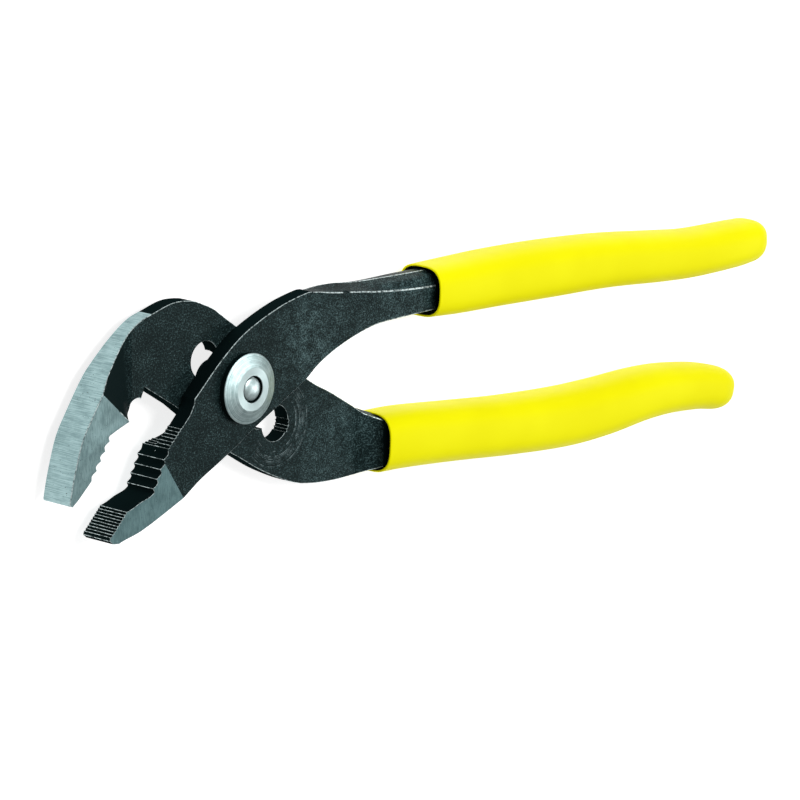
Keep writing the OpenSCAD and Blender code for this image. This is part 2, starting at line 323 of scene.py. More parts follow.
# Steels that differ only in how they are rubbed: edges worn bright, the bolt's dome and the spring washer
rubbedSteel = dict(
    wornEdge=dict(dark=(0.07, 0.10, 0.10), light=(0.64, 0.76, 0.76), darkToLight=(0.38, 0.56),
                  scale=1500, rough=(0.5, 0.32), dent=(0.4, 0.03 * mm), metal=0.5),
    domeSteel=dict(dark=(0.34, 0.43, 0.43), light=(0.58, 0.69, 0.69), darkToLight=(0.35, 0.65),
                   scale=600, rough=(0.44, 0.36), dent=(0.2, 0.02 * mm), metal=1.0),
    springSteel=dict(dark=(0.02, 0.025, 0.03), light=(0.07, 0.08, 0.085), darkToLight=(0.35, 0.65),
                     scale=700, rough=(0.5, 0.35), dent=(0.3, 0.02 * mm), metal=1.0),
)


def makeRubbedSteel(name):
    v = rubbedSteel[name]
    f = Finish(name)
    rub = f.noise(v["scale"], 3.0, 0.6)
    f.paint(f.blend(f.ramp(rub, *v["darkToLight"]), v["dark"], v["light"]))
    f.roughen(rub, *v["rough"])
    f.bump(rub, *v["dent"])
    f.fixed(Metallic=v["metal"])
    return f.material


# Ground steel: fine lines that run across the jaw, from a noise squeezed along one direction
ground = dict(
    light=(0.355, 0.51, 0.52),
    dull=(0.19, 0.30, 0.31),
    pit=(0.08, 0.12, 0.125),
    dullToLight=(0.41, 0.57),
    frontShare=(0.31, 0.38, 0.385),
    rearShare=(0.48, 0.51, 0.51),
    bandShare=(1.0, 1.0, 1.0),
    faceGrain=(9000, 500, 500),
    faceTurn=(0, 0, 38),
    bandGrain=(5200, 5200, 160),
    bandTurn=(0, 0, 0),
    lineShare=0.7,
    cloudScale=260,
    pitScale=2600,
    pitFrom=(0.70, 0.76),
    rough=(0.50, 0.36),
    dent=(0.4, 0.02 * mm),
    metal=0.8,
)


def makeGroundSteel(name, grain, turn, share):
    v = ground
    f = Finish(name)
    light, dull, pit = [tuple(c * k for c, k in zip(v[key], share)) for key in ("light", "dull", "pit")]
    lines = f.noise(1.0, 4.0, 0.65, f.stretched(grain, turn))
    tone = f.mixed(lines, f.noise(v["cloudScale"], 3.0, 0.6), v["lineShare"])
    colour = f.blend(f.ramp(tone, *v["dullToLight"]), dull, light)
    f.paint(f.blend(f.ramp(f.noise(v["pitScale"], 1.0, 0.5), *v["pitFrom"]), colour, pit))
    f.roughen(tone, *v["rough"])
    f.bump(lines, *v["dent"])
    f.fixed(Metallic=v["metal"])
    return f.material


# Turned steel of the nut: fine rings on the cone, and a plainer flat land round the bolt's end
turnedSteel = dict(
    light=(0.56, 0.70, 0.70),
    dull=(0.25, 0.36, 0.365),
    dullToLight=(0.42, 0.56),
    land=(0.47, 0.58, 0.58),
    landEdge=0.05 * mm,
    ringPitch=0.26 * mm,
    ringShare=0.7,
    rubScale=420,
    rough=(0.52, 0.38),
    dent=(0.5, 0.04 * mm),
    metal=0.85,
    sheenAlong=0.6,
)


def makeTurnedSteel():
    v = turnedSteel
    f = Finish("turnedSteel")
    far = f.distanceFrom((0.0, 0.0))
    rings = f.ringNoise(far, v["ringPitch"], 3.0, 0.7)
    tone = f.mixed(rings, f.noise(v["rubScale"], 3.0, 0.6), v["ringShare"])
    colour = f.blend(f.ramp(tone, *v["dullToLight"]), v["dull"], v["light"])
    land = f.ramp(far, pivot["landRadius"], pivot["landRadius"] + v["landEdge"], 1.0, 0.0)
    f.paint(f.blend(land, colour, v["land"]))
    f.roughen(tone, *v["rough"])
    f.bump(rings, *v["dent"])
    tangent = f.add("ShaderNodeTangent", direction_type="RADIAL", axis="Z")
    f.join(tangent.outputs["Tangent"], f.shader.inputs["Tangent"])
    f.fixed(Metallic=v["metal"], Anisotropic=v["sheenAlong"])
    return f.material


# Dipped vinyl: smooth and satin, with faint waves from the dip and a fine orange peel
vinyl = dict(
    bright=(0.90, 0.86, 0.0),
    deep=(0.86, 0.81, 0.0),
    deepToBright=(0.35, 0.65),
    waveScale=45,
    waveRise=0.25,
    peelScale=1500,
    peelRise=0.12,
    rough=(0.56, 0.48),
    dent=(0.12, 0.3 * mm),
    gloss=0.20,
    glossTint=(1.0, 0.90, 0.02),
)


def makeVinyl():
    v = vinyl
    f = Finish("dippedVinyl")
    wave = f.noise(v["waveScale"], 2.0, 0.5)
    peel = f.noise(v["peelScale"], 2.0, 0.5)
    f.paint(f.blend(f.ramp(wave, *v["deepToBright"]), v["deep"], v["bright"]))
    f.roughen(wave, *v["rough"])
    height = f.calc("ADD", f.calc("MULTIPLY", wave, v["waveRise"]), f.calc("MULTIPLY", peel, v["peelRise"]))
    f.bump(height, *v["dent"])
    f.fixed(Specular_IOR_Level=v["gloss"], Specular_Tint=v["glossTint"])
    return f.material


# Main sizes of the tool, in metres
tool = dict(
    jawReach=56 * mm,
    handleReach=197 * mm,
    headWidth=40 * mm,
    lapGap=0.12 * mm,
    plateZ=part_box("rear_lever")[0].z,
    topZ=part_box("front_lever")[1].z,
)
tool["jawThick"] = tool["topZ"] - tool["plateZ"]
tool["midZ"] = tool["plateZ"] + tool["jawThick"] / 2

# The order of a lever's materials; slope and wall carry painted shade
faceFinish = dict(black=0, worn=1, ground=2, band=3, slope=4, wall=5)


def placeOf(share):
    reach = tool["jawReach"] if share[0] < 0 else tool["handleReach"]
    return Vector((share[0] * reach, share[1] * tool["headWidth"]))


def placesOf(shares):
    return [placeOf(s) for s in shares]


# A smooth curve through four points in turn, at share t of the way from b to c
def bend(a, b, c, d, t):
    return 0.5 * (2 * b + (c - a) * t + (2 * a - 5 * b + 4 * c - d) * t * t + (3 * b - a - 3 * c + d) * t**3)


def smooth(points, steps=7):
    found = []
    last = len(points) - 1
    for i in range(last):
        for k in range(steps):
            before = points[max(i - 1, 0)]
            after = points[min(i + 2, last)]
            found.append(bend(before, points[i], points[i + 1], after, k / steps))
    return found + [points[last]]


def smoothShares(shares):
    return smooth(placesOf(shares))


# A tooth rises slowly to its crest and drops back: (share of the pitch, share of the depth)
toothProfile = [(0.0, 0.0), (0.22, 0.14), (0.70, 1.0), (0.90, 0.12)]
serrationProfile = [(0.0, 0.0), (0.45, 1.0)]


def teeth(a, b, count, depth, profile):
    step = (b - a) / count
    out = Vector((step.y, -step.x)).normalized()
    return [a + step * (i + along) + out * (depth * rise) for i in range(count) for along, rise in profile]


def thinned(points):
    kept = []
    for p in points:
        if not kept or (p - kept[-1]).length > close:
            kept.append(p)
    while (kept[0] - kept[-1]).length <= close:
        kept.pop()
    return kept


def newObject(name, bm, slots=0):
    mesh = bpy.data.meshes.new(name)
    bm.to_mesh(mesh)
    bm.free()
    for k in range(slots):
        mesh.materials.append(None)
    obj = bpy.data.objects.new(name, mesh)
    bpy.context.scene.collection.objects.link(obj)
    return obj


def prism(name, outline, low, high):
    bm = bmesh.new()
    points = thinned(outline)
    under = [bm.verts.new((p.x, p.y, low)) for p in points]
    over = [bm.verts.new((p.x, p.y, high)) for p in points]
    count = len(points)
    bm.faces.new(list(reversed(under)))
    bm.faces.new(over)
    for i in range(count):
        j = (i + 1) % count
        bm.faces.new((under[i], under[j], over[j], over[i]))
    bmesh.ops.recalc_face_normals(bm, faces=bm.faces)
    return newObject(name, bm, slots=len(faceFinish))


def cylinder(name, centre, radius, low, high, sides=96):
    ring = [2 * math.pi * k / sides for k in range(sides)]
    return prism(name, [centre + Vector((math.cos(q), math.sin(q))) * radius for q in ring], low, high)


def hullOf(name, points):
    bm = bmesh.new()
    for p in points:
        bm.verts.new(p)
    made = bmesh.ops.convex_hull(bm, input=bm.verts)
    bmesh.ops.delete(bm, geom=made["geom_interior"], context="VERTS")
    bmesh.ops.recalc_face_normals(bm, faces=bm.faces)
    return newObject(name, bm)


# A closed skin through rings of points, with a cap at each end. The marked sides are worn bright
def skin(name, rings, marked=()):
    bm = bmesh.new()
    rows = [[bm.verts.new(p) for p in ring] for ring in rings]
    count = len(rings[0])
    bm.faces.new(rows[0])
    bm.faces.new(list(reversed(rows[-1])))
    for a, b in zip(rows, rows[1:]):
        for k in range(count):
            j = (k + 1) % count
            face = bm.faces.new((a[k], b[k], b[j], a[j]))
            face.material_index = faceFinish["worn" if k in marked else "black"]
    bmesh.ops.recalc_face_normals(bm, faces=bm.faces)
    return newObject(name, bm, slots=len(faceFinish) if marked else 0)


# Modifiers are made real, so the mesh is the shape
def freeze(obj):
    seen = bpy.context.evaluated_depsgraph_get()
    mesh = bpy.data.meshes.new_from_object(obj.evaluated_get(seen))
    old = obj.data
    obj.modifiers.clear()
    obj.data = mesh
    mesh.name = obj.name
    bpy.data.meshes.remove(old)


def combine(obj, other, how):
    modifier = obj.modifiers.new(how, "BOOLEAN")
    modifier.operation = how
    modifier.solver = "MANIFOLD"
    modifier.object = other
    bpy.context.view_layer.update()
    freeze(obj)
    bpy.data.objects.remove(other)


# Flat faces are made whole again after the cuts
def flatten(obj, degrees=0.3, apart=0.004 * mm):
    bm = bmesh.new()
    bm.from_mesh(obj.data)
    bmesh.ops.remove_doubles(bm, verts=bm.verts, dist=apart)
    limit = math.radians(degrees)
    bmesh.ops.dissolve_limit(bm, angle_limit=limit, verts=bm.verts, edges=bm.edges, delimit={"MATERIAL"})
    bm.to_mesh(obj.data)
    bm.free()


# Sections of a neck: each corner is (y, z, reach), rounded over its reach
def roundedSection(corners, steps=4, mostShare=0.48):
    found = []
    count = len(corners)
    for i, (y, z, reach) in enumerate(corners):
        p = Vector((y, z))
        before = Vector(corners[i - 1][:2])
        after = Vector(corners[(i + 1) % count][:2])
        back = min(reach, mostShare * (before - p).length)
        forth = min(reach, mostShare * (after - p).length)
        a = p + (before - p).normalized() * back
        b = p + (after - p).normalized() * forth
        for k in range(steps + 1):
            t = k / steps
            found.append(a * (1 - t) ** 2 + p * 2 * t * (1 - t) + b * t * t)
    return found


def neckRings(stations, steps=6):
    rows = []
    for share, corners in stations:
        row = [share * tool["handleReach"]]
        for y, z, reach in corners:
            row += [y * tool["headWidth"], tool["plateZ"] + z * tool["jawThick"], reach * mm]
        rows.append(Vector(row))
    rings = []
    for row in smooth(rows, steps):
        corners = [tuple(row[i : i + 3]) for i in range(1, len(row), 3)]
        rings.append([(row[0], p.x, p.y) for p in roundedSection(corners)])
    return rings


makeCamera()
makeLight()
makeFloor()
print("camera, light and floor made")

# Front lever: the head's outline runs anticlockwise from the top of the neck. Its points are shares of
# the jaws' or the handles' reach, and of the head's width
frontHead = dict(
    back=[(0.1165, 0.4705), (0.104, 0.4705), (0.066, 0.436), (0.0254, 0.3715),
          (-0.027, 0.298), (-0.145, 0.1825), (-0.2625, 0.04), (-0.291, 0.0075)],
    crownFoot=(-0.293, -0.0225),
    crown=[(-0.318, -0.08), (-0.366, -0.145), (-0.45, -0.258)],
    gripFace=[(-0.4465, -0.275), (-0.5286, -0.48)],
    flat=[(-0.5286, -0.48), (-0.5536, -0.4975), (-0.605, -0.515), (-0.65, -0.5375), (-0.6786, -0.5475)],
    tip=[(-0.6786, -0.5475), (-0.7786, -0.685)],
    nose=[(-0.782, -0.6925), (-0.764, -0.715), (-0.73, -0.7225)],
    belly=[(-0.73, -0.7225), (-0.696, -0.71), (-0.607, -0.685), (-0.498, -0.6325), (-0.359, -0.5575)],
    under=[(-0.359, -0.5575), (-0.266, -0.48), (-0.148, -0.4025), (-0.03, -0.3225), (0.0086, -0.275),
           (0.042, -0.195), (0.0766, -0.1125), (0.106, -0.0400), (0.1165, -0.001)],
    heel=[(-0.222, -0.255), (-0.284, -0.21)],
    heelCrown=[(-0.35, -0.2325), (-0.375, -0.239), (-0.45, -0.258)],
    heelFoot=[(-0.359, -0.5575), (-0.266, -0.48), (-0.196, -0.436)],
    coarseTeeth=4,
    coarseDepth=0.75 * mm,
    fineTeeth=10,
    fineDepth=0.32 * mm,
    crownTeeth=7,
    heelTeeth=4,
    partingSides=[*range(10, 14), *range(15, 19), *range(25, 29)],  # of a section of the neck, worn bright
)
# Sections of the neck: share of the handles' reach, then corners, each a share of the head's width, a
# share of the jaw's thickness and a rounding in mm
frontNeck = [
    (0.1155, [(-0.005, 0.52, 0.1), (-0.005, 0.8, 0.1), (-0.005, 1.0, 0.16), (0.4690, 1.0, 0.16),
              (0.4698, 0.8, 0.1), (0.4700, 0.66, 0.05), (0.4690, 0.6, 0.1), (0.45, 0.52, 0.1)]),
    (0.1280, [(0.032, 0.52, 0.1), (0.032, 0.8, 0.1), (0.032, 1.0, 0.16), (0.4600, 1.0, 0.16),
              (0.4685, 0.8, 0.1), (0.4740, 0.66, 0.05), (0.4720, 0.6, 0.1), (0.45, 0.52, 0.1)]),
    (0.1450, [(0.072, 0.52, 0.1), (0.072, 0.8, 0.1), (0.072, 1.0, 0.16), (0.4430, 1.0, 0.16),
              (0.4630, 0.8, 0.1), (0.4770, 0.66, 0.05), (0.4740, 0.6, 0.1), (0.459, 0.52, 0.1)]),
    (0.1675, [(0.113, 0.52, 0.1), (0.113, 0.8, 0.1), (0.113, 1.0, 0.16), (0.4250, 1.0, 0.16),
              (0.4490, 0.8, 0.3), (0.4710, 0.66, 0.05), (0.4675, 0.6, 0.1), (0.445, 0.52, 0.1)]),
    (0.200, [(0.151, 0.46, 0.8), (0.151, 0.86, 0.5), (0.157, 1.0, 0.2), (0.403, 1.0, 0.2), (0.425, 0.80, 0.5),
             (0.4490, 0.61, 0.18), (0.4450, 0.46, 0.5), (0.418, 0.40, 1.2)]),
    (0.234, [(0.174, 0.40, 1.0), (0.174, 0.88, 0.6), (0.184, 1.0, 0.2), (0.377, 1.0, 0.2), (0.408, 0.82, 0.6),
             (0.4365, 0.60, 0.18), (0.4335, 0.37, 0.8), (0.402, 0.28, 1.4)]),
    (0.290, [(0.175, 0.30, 1.6), (0.175, 0.84, 0.7), (0.187, 1.0, 0.2), (0.346, 1.0, 0.2), (0.396, 0.85, 0.6),
             (0.4230, 0.59, 0.18), (0.4255, 0.27, 1.0), (0.389, 0.16, 1.6)]),
    (0.345, [(0.173, 0.28, 1.6), (0.173, 0.80, 0.8), (0.186, 1.0, 0.2), (0.328, 1.0, 0.2), (0.392, 0.85, 0.6),
             (0.4140, 0.58, 0.18), (0.4140, 0.24, 1.0), (0.365, 0.09, 1.6)]),
    (0.360, [(0.175, 0.28, 1.6), (0.175, 0.80, 0.8), (0.188, 1.0, 0.2), (0.323, 1.0, 0.2), (0.391, 0.85, 0.6),
             (0.4140, 0.58, 0.18), (0.4130, 0.24, 1.0), (0.365, 0.09, 1.6)]),
]
# A small forging mark in the rim where the head becomes the neck, corners in mm
frontNotch = [(32.6, 17.7, 11.7), (36.2, 17.0, 11.7), (33.2, 16.6, 11.7), (35.9, 16.2, 11.7),
              (34.3, 17.1, 10.6)]


def jawFace(h, heel):
    start, a, b = placesOf(h["heelCrown"] if heel else h["crown"])
    count = h["heelTeeth"] if heel else h["crownTeeth"]
    points = [start] + teeth(a, b, count, h["fineDepth"], serrationProfile)
    a, b = placesOf(h["gripFace"])
    points += teeth(a, b, h["coarseTeeth"], h["coarseDepth"], toothProfile)
    points += smoothShares(h["flat"])
    a, b = placesOf(h["tip"])
    points += teeth(a, b, h["fineTeeth"], h["fineDepth"], serrationProfile)
    return points + placesOf(h["nose"]) + smoothShares(h["belly"])


def makeFrontLever():
    h = frontHead
    plate = smoothShares(h["back"]) + [placeOf(h["crownFoot"])] + jawFace(h, heel=False)
    plate += smoothShares(h["under"])
    heel = placesOf(h["heel"]) + jawFace(h, heel=True) + placesOf(h["heelFoot"])
    lever = prism("frontLever", plate, tool["midZ"] + tool["lapGap"] / 2, tool["topZ"])
    combine(lever, prism("heel", heel, tool["plateZ"], tool["midZ"] + tool["lapGap"]), "UNION")
    combine(lever, skin("neck", neckRings(frontNeck), marked=h["partingSides"]), "UNION")
    combine(lever, hullOf("notch", [Vector(c) * mm for c in frontNotch]), "DIFFERENCE")
    return lever


# Rear lever: its outline runs the same way round, from the top of its neck
rearHead = dict(
    back=[(0.213, -0.328), (0.173, -0.205), (0.129, -0.08), (0.031, 0.264), (0.0046, 0.353),
          (-0.043, 0.413), (-0.102, 0.472), (-0.159, 0.511), (-0.229, 0.548), (-0.332, 0.56),
          (-0.441, 0.5275), (-0.532, 0.49), (-0.634, 0.4), (-0.73, 0.29), (-0.7875, 0.2075), (-0.871, 0.045),
          (-0.929, -0.085), (-0.975, -0.275), (-1, -0.4175)],
    nose=[(-0.998, -0.43), (-0.984, -0.4375)],
    flat=[(-0.984, -0.4375), (-0.9446, -0.3975), (-0.878, -0.315)],
    gripFace=[(-0.877, -0.29), (-0.7786, -0.0875)],
    heel=[(-0.775, -0.0825), (-0.718, -0.055), (-0.6625, -0.03)],
    throat=[(-0.6625, -0.03), (-0.602, -0.003), (-0.580, 0.034), (-0.556, 0.053),
            (-0.530, 0.057), (-0.5216, 0.050)],
    throatWall=[(-0.498, 0.11), (-0.324, -0.047)],
    under=[(0.0005, -0.412), (0.0142, -0.4510), (0.0533, -0.5685), (0.103, -0.6825),
           (0.1396, -0.725), (0.18, -0.742), (0.213, -0.7425)],
    # Where the jaw's full thickness ends on its face, and the foot of the sloped wall below it
    face=[(-1.1, -0.5), (-0.6625, -0.5), (-0.6625, -0.03), (-0.84, 0.205), (-1.1, 0.205)],
    foot=[(-1.1, -0.5), (-0.5964, -0.5), (-0.5964, -0.06), (-0.5964, 0.47), (-1.1, 0.47)],
    wallFalls=(-0.02, 0.0, 0.25, 0.5),  # rows of points, as shares of the way from its crest to its foot
    wallColumns=10,
    hollowFrom=0.66,
    hollowReach=1.6 * mm,
    hollowSteps=8,
    hollowSink=0.01 * mm,
    coarseTeeth=4,
    coarseDepth=0.75 * mm,
    partingSides=[*range(10, 14), *range(15, 19)],
)
slot = dict(
    radius=4.4 * mm,
    pitch=6.3 * mm,
    first=-2,
    last=3,
    angle=-39.2,  # degrees from +X
    tightShift=(1.16 * mm, -0.61 * mm),  # of the tightest seat, from the line of the others
    grooveRadius=0.38 * mm,
    grooveSides=10,
    grooveTurns=(-4, -14, -23, -34),  # degrees about the widest seat, where the broach has left its marks
)


def slotSeat(k):
    turn = math.radians(slot["angle"])
    return Vector((math.cos(turn), math.sin(turn))) * slot["pitch"] * k


rearNeck = [
    (0.2125, [(-0.7425, 0.0, 0.1), (-0.7425, 0.25, 0.1), (-0.7425, 0.493, 0.1), (-0.328, 0.493, 0.1),
              (-0.328, 0.25, 0.1), (-0.328, 0.0, 0.1)]),
    (0.2260, [(-0.739, 0.01, 0.5), (-0.742, 0.3, 0.4), (-0.732, 0.62, 0.2), (-0.376, 0.62, 0.2),
              (-0.352, 0.3, 0.4), (-0.365, 0.01, 0.5)]),
    (0.2440, [(-0.73, 0.03, 0.8), (-0.732, 0.4, 0.8), (-0.712, 0.90, 0.25), (-0.418, 0.90, 0.25),
              (-0.388, 0.4, 0.8), (-0.42, 0.03, 0.8)]),
    (0.2530, [(-0.722, 0.04, 1.0), (-0.725, 0.4, 1.0), (-0.700, 0.97, 0.3), (-0.437, 0.97, 0.3),
              (-0.406, 0.4, 1.0), (-0.45, 0.04, 1.0)]),
    (0.2850, [(-0.715, 0.04, 1.0), (-0.735, 0.4, 1.0), (-0.705, 1.0, 0.5), (-0.475, 1.0, 0.5),
              (-0.45, 0.4, 1.0), (-0.48, 0.04, 1.0)]),
]


# The jaw's full thickness: its wall slopes from the crest to a foot, and runs out there in a soft hollow
def slopedBlock():
    h = rearHead
    pairs = list(zip(placesOf(h["face"]), placesOf(h["foot"])))
    near, far = pairs[2], pairs[3]
    columns = h["wallColumns"]
    between = [[p.lerp(q, k / columns) for p, q in zip(near, far)] for k in range(1, columns)]
    pairs = pairs[:3] + between + pairs[3:]
    level = tool["midZ"] - tool["lapGap"] / 2
    thick = tool["topZ"] - level
    rings = []
    for fall in h["wallFalls"]:
        rings.append([(*p.lerp(q, fall), level + thick * (1 - fall)) for p, q in pairs])
    for k in range(h["hollowSteps"] + 1):
        t = k / h["hollowSteps"]
        ring = []
        for p, q in pairs:
            start = Vector((*p.lerp(q, h["hollowFrom"]), thick * (1 - h["hollowFrom"])))
            end = Vector((q.x + h["hollowReach"], q.y, -h["hollowSink"]))
            corner = Vector((*q, 0))
            place = start.lerp(corner, t).lerp(corner.lerp(end, t), t)
            ring.append((place.x, place.y, level + place.z))
        rings.append(ring)
    rings.append([(x, y, level - tool["lapGap"] / 2) for x, y, z in rings[-1]])
    return skin("block", rings)


def makeRearLever():
    h = rearHead
    outline = smoothShares(h["back"]) + placesOf(h["nose"]) + smoothShares(h["flat"])
    a, b = placesOf(h["gripFace"])
    outline += teeth(a, b, h["coarseTeeth"], h["coarseDepth"], toothProfile)
    outline += smoothShares(h["heel"]) + smoothShares(h["throat"]) + placesOf(h["throatWall"])
    outline += smoothShares(h["under"])
    lever = prism("rearLever", outline, tool["plateZ"], tool["midZ"] - tool["lapGap"] / 2)
    jaw = prism("jaw", outline, tool["plateZ"], tool["topZ"])
    combine(jaw, slopedBlock(), "INTERSECT")
    combine(lever, jaw, "UNION")
    combine(lever, skin("neck", neckRings(rearNeck), marked=h["partingSides"]), "UNION")
    above = tool["topZ"] + 1 * mm
    for k in range(slot["first"], slot["last"] + 1):
        shift = Vector(slot["tightShift"] if k == slot["first"] else (0, 0))
        combine(lever, cylinder("seat", slotSeat(k) + shift, slot["radius"], 0, above), "DIFFERENCE")
    for degrees in slot["grooveTurns"]:
        turn = math.radians(degrees)
        place = slotSeat(slot["last"]) + Vector((math.cos(turn), math.sin(turn))) * slot["radius"]
        groove = cylinder("groove", place, slot["grooveRadius"], 0, above, sides=slot["grooveSides"])
        combine(lever, groove, "DIFFERENCE")
    return lever


# Finish of a lever's faces, and its edges rubbed bright
leverLooks = dict(
    edgeWidth=0.13 * mm,
    toothEdgeWidth=0.08 * mm,
    leastTurn=36.0,  # degrees between two faces that make an edge
    upright=0.9,  # part of an edge's direction along Z from which it is an upright one, and is left sharp
    frontTeeth=((-60 * mm, -29 * mm), (-15.5 * mm, -2 * mm)),  # corners of the places with fine edges
    rearTeeth=((-51 * mm, -40 * mm), (-43 * mm, -2.5 * mm)),
    broachWidth=0.6 * mm,
    smoothTurn=30.0,
    frontGround=((-25.8, -13.6), (-20.1, -22.5)),  # mm, where the front jaw's ground face begins
    bandEnd=-25.2 * mm,
    frontNeckFrom=0.1158,  # shares of the handles' reach
    rearNeckFrom=0.211,
    neckMargin=0.2 * mm,
    frontWallTo=22.7 * mm,  # side walls up to here get painted shade
    rearWallTo=24 * mm,
    frontGripAt=66.0 * mm,
    rearGripAt=48.3 * mm,
    near=0.1 * mm,
    slopeFoot=0.45,  # of the lap's gap, under the middle of the thickness
    # the part of a face's normal that is along Z
    flatUp=0.99,
    slopeUp=0.3,
    frontWallUp=0.5,
    rearWallUp=0.2,
    bandUp=0.05,
    # the ground band looks to +Y or to the jaws' end, by these parts along Y and X
    bandAlongY=0.02,
    bandAlongX=-0.6,
)


def cutFace(obj, a, b, level):
    bm = bmesh.new()
    bm.from_mesh(obj.data)
    across = Vector((b[1] - a[1], a[0] - b[0], 0)).normalized()
    flats = []
    for face in bm.faces:
        away = abs(face.calc_center_median().z - level)
        if face.normal.z > leverLooks["flatUp"] and away < leverLooks["near"] / 2:
            flats.append(face)
    parts = flats + list({e for f in flats for e in f.edges}) + list({v for f in flats for v in f.verts})
    bmesh.ops.bisect_plane(bm, geom=parts, dist=hair, plane_co=Vector((*a, 0)) * mm, plane_no=across)
    bm.to_mesh(obj.data)
    bm.free()


# The neck gets painted shade, a black, from where it enters its grip
def cutNeck(obj, place):
    bm = bmesh.new()
    bm.from_mesh(obj.data)
    parts = bm.faces[:] + bm.edges[:] + bm.verts[:]
    bmesh.ops.bisect_plane(bm, geom=parts, dist=hair, plane_co=(place, 0, 0), plane_no=(1, 0, 0))
    for face in bm.faces:
        if face.calc_center_median().x > place:
            face.material_index = faceFinish["wall"]
    bm.to_mesh(obj.data)
    bm.free()


def rubEdges(obj, neckFrom, hasFineEdges):
    bm = bmesh.new()
    bm.from_mesh(obj.data)
    weight = bm.edges.layers.float.new("bevel_weight_edge")
    least = math.radians(leverLooks["leastTurn"])
    fine = leverLooks["toothEdgeWidth"] / leverLooks["edgeWidth"]
    for e in bm.edges:
        if len(e.link_faces) != 2 or e.calc_face_angle_signed(0) < least:
            continue
        middle = (e.verts[0].co + e.verts[1].co) / 2
        along = (e.verts[1].co - e.verts[0].co).normalized()
        if middle.x > neckFrom - leverLooks["neckMargin"]:
            continue
        if hasFineEdges(middle):
            e[weight] = fine
        elif abs(along.z) <= leverLooks["upright"]:
            e[weight] = 1.0
    bm.to_mesh(obj.data)
    bm.free()
    modifier = obj.modifiers.new("lighterPlaces", "BEVEL")
    modifier.limit_method = "WEIGHT"
    modifier.width = leverLooks["edgeWidth"]
    modifier.segments = 1
    modifier.use_clamp_overlap = False
    modifier.material = faceFinish["worn"]
    modifier.loop_slide = False
    bpy.context.view_layer.update()
    freeze(obj)


def sharpen(obj, degrees):
    obj.data.shade_smooth()
    obj.data.set_sharp_from_angle(angle=math.radians(degrees))


def isWithin(p, corners):
    (x0, y0), (x1, y1) = corners
    return x0 < p.x < x1 and y0 < p.y < y1


def inFrontTeeth(p):
    return isWithin(p, leverLooks["frontTeeth"])


# The rear jaw's teeth, and the broached wall of the slot's widest seat
def inRearTeeth(p):
    broach = (p.xy - slotSeat(slot["last"])).length < slot["radius"] + leverLooks["broachWidth"]
    return broach or isWithin(p, leverLooks["rearTeeth"])


def onTipSide(p):
    a, b = leverLooks["frontGround"]
    return (p.x / mm - a[0]) * (b[1] - a[1]) - (p.y / mm - a[1]) * (b[0] - a[0]) > 0


def finishFront(lever):
    v = leverLooks
    top = tool["topZ"] - v["near"]
    bottom = tool["plateZ"] + v["near"]
    for face in lever.data.polygons:
        up = abs(face.normal.z)
        c = face.center
        if face.material_index != faceFinish["black"]:
            continue
        # Side walls near the head get painted shade
        if up < v["frontWallUp"] and c.x < v["frontWallTo"]:
            face.material_index = faceFinish["wall"]
        elif up > v["flatUp"] and onTipSide(c) and not bottom <= c.z <= top:
            face.material_index = faceFinish["ground"]


def finishRear(lever):
    v = leverLooks
    top = tool["topZ"] - v["near"]
    foot = tool["midZ"] - tool["lapGap"] * v["slopeFoot"]
    for face in lever.data.polygons:
        n = face.normal
        c = face.center
        outward = n.y > v["bandAlongY"] or n.x < v["bandAlongX"]
        if face.material_index == faceFinish["worn"]:
            continue
        if n.z > v["flatUp"] and c.z > top and c.x < 0:
            face.material_index = faceFinish["ground"]
        elif abs(n.z) < v["bandUp"] and c.x < v["bandEnd"] and outward:
            face.material_index = faceFinish["band"]
        elif face.material_index != faceFinish["black"]:
            continue
        # The rear jaw's sloped wall gets its painted shade
        elif n.z > v["slopeUp"] and c.x < 0 and foot < c.z < top:
            face.material_index = faceFinish["slope"]
        # Side walls near the head get painted shade
        elif abs(n.z) < v["rearWallUp"] and c.x < v["rearWallTo"]:
            face.material_index = faceFinish["wall"]


wornEdge = makeRubbedSteel("wornEdge")
groundBand = makeGroundSteel("groundBand", ground["bandGrain"], ground["bandTurn"], ground["bandShare"])
slopeBlack = makeBlackOxide("slopeBlack", "slope")
wallBlack = makeBlackOxide("wallBlack", "wall")
frontLever = makeFrontLever()
rearLever = makeRearLever()
for lever, wearOrShade, share in ((frontLever, "patch", "frontShare"), (rearLever, "rings", "rearShare")):
    grain, turn = ground["faceGrain"], ground["faceTurn"]
    groundFace = makeGroundSteel(lever.name + "Ground", grain, turn, ground[share])
    black = makeBlackOxide(lever.name + "Black", wearOrShade)
    for k, material in enumerate([black, wornEdge, groundFace, groundBand, slopeBlack, wallBlack]):
        lever.data.materials[k] = material
    flatten(lever)
cutFace(frontLever, *leverLooks["frontGround"], tool["topZ"])
cutNeck(frontLever, leverLooks["frontGripAt"])
cutNeck(rearLever, leverLooks["rearGripAt"])
rubEdges(frontLever, leverLooks["frontNeckFrom"] * tool["handleReach"], inFrontTeeth)
rubEdges(rearLever, leverLooks["rearNeckFrom"] * tool["handleReach"], inRearTeeth)
finishFront(frontLever)
finishRear(rearLever)
for lever, body, node in [(frontLever, "front", "front_lever"), (rearLever, "rear", "rear_lever")]:
    sharpen(lever, leverLooks["smoothTurn"])
    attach(lever, body)
    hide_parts(node)
print("levers made")

